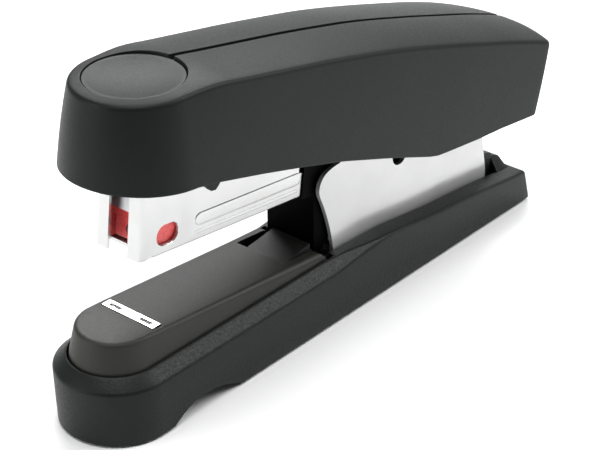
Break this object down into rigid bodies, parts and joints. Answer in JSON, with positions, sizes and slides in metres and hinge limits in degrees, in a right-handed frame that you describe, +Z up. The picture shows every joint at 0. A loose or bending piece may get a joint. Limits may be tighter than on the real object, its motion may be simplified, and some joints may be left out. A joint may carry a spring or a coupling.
{
  "type": "stapler",
  "caption": "Desk stapler with a long arched handle, a thumb dish, a sprung magazine, and a clinch arm in its base that folds staple legs flat.",
  "frame": {"origin": "on the table under the middle of the object's bounding box", "axes": "+X to the rear, away from the staple exit; +Y to the far side when the front points left; +Z up"},
  "size_m": [0.1705, 0.0442, 0.0886],
  "materials": {
    "black_plastic": "fine moulded grain, satin",
    "grey_plastic": "fine moulded grain, matt",
    "nickel": "bright nickel plate",
    "steel": "plain steel",
    "red_plastic": "smooth",
    "rubber": "matt"
  },
  "bodies": {
    "base": {"base_shell": "black_plastic", "base_cover": "steel", "cover_screw_1": "steel", "cover_screw_2": "steel", "foot_pad_front": "rubber", "foot_pad_mid_near": "rubber", "foot_pad_mid_far": "rubber", "foot_pad_rear_near": "rubber", "foot_pad_rear_far": "rubber", "frame_bracket": "nickel", "bracket_cover": "black_plastic", "pivot_pin": "steel", "retaining_ring_near": "steel", "retaining_ring_far": "steel", "arm_pin": "steel", "arm_spring": "steel", "lift_spring": "steel"},
    "clinch_arm": {"anvil_housing": "grey_plastic", "anvil_plate": "nickel", "paper_stop": "black_plastic"},
    "magazine": {"magazine_channel": "nickel", "magazine_hub": "black_plastic", "staple_rail": "steel", "guide_rod": "steel", "pusher_spring": "steel"},
    "pusher_slider": {"pusher": "red_plastic"},
    "handle": {"handle_shell": "black_plastic", "thumb_pad": "black_plastic", "handle_carrier": "steel", "driver_blade": "steel", "driver_rivet": "steel", "return_leaf": "steel"}
  },
  "joints": [
    {"name": "magazine_press", "type": "hinge", "parent": "base", "child": "magazine", "pos_m": [0.05545, 0, 0.038], "axis": [0, -1, 0], "range_deg": [0, 8.2], "stiffness_Nm_per_rad": 1.2, "springref_deg": -17.19, "deforming": ["lift_spring"]},
    {"name": "handle_lever", "type": "hinge", "parent": "magazine", "child": "handle", "pos_m": [0.05545, 0, 0.038], "axis": [0, -1, 0], "range_deg": [-35, 4.2], "stiffness_Nm_per_rad": 3, "springref_deg": -1.15, "deforming": ["return_leaf"]},
    {"name": "pusher_slide", "type": "slide", "parent": "magazine", "child": "pusher_slider", "axis": [0.9932, 0, -0.1167], "range_m": [0, 0.058], "stiffness_N_per_m": 25, "springref_m": -0.04, "deforming": ["pusher_spring"]},
    {"name": "clinch_arm_tilt", "type": "hinge", "parent": "base", "child": "clinch_arm", "pos_m": [-0.00755, 0, 0.0106], "axis": [0, -1, 0], "range_deg": [0, 1.2], "stiffness_Nm_per_rad": 12, "springref_deg": -1.72, "deforming": ["arm_spring"]}
  ]
}
